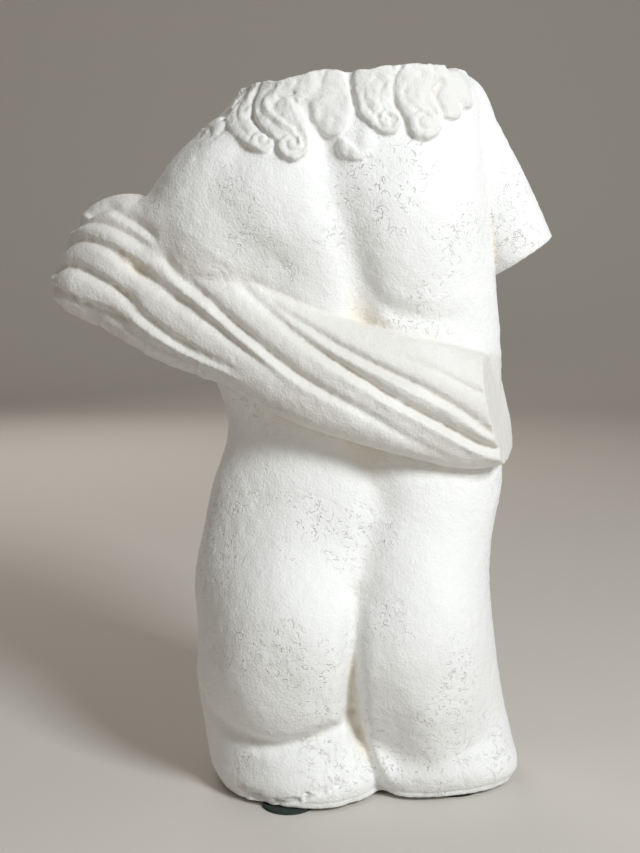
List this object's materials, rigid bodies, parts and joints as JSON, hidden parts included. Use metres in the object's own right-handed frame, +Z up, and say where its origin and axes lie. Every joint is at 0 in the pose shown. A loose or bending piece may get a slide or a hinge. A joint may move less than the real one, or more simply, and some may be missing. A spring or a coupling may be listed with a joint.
{
  "type": "plaster torso sculpture",
  "caption": "Broken classical figure cast in plaster: bare back, drapery wrapped round one arm and across the loins, locks of hair at the neck, thighs cut flat to stand.",
  "frame": {"origin": "on the ground under the middle of the work's box", "axes": "+Z up; the figure faces +Y, so its back and the drapery face -Y; +X is the side of the bare arm's stump"},
  "size_m": [0.4738, 0.2326, 0.6763],
  "materials": {
    "plaster": "matte",
    "pad": "matte"
  },
  "bodies": {
    "root": {"torso": "plaster", "pad_rear_left": "pad", "pad_rear_right": "pad", "pad_front_left": "pad", "pad_front_right": "pad"}
  },
  "joints": []
}
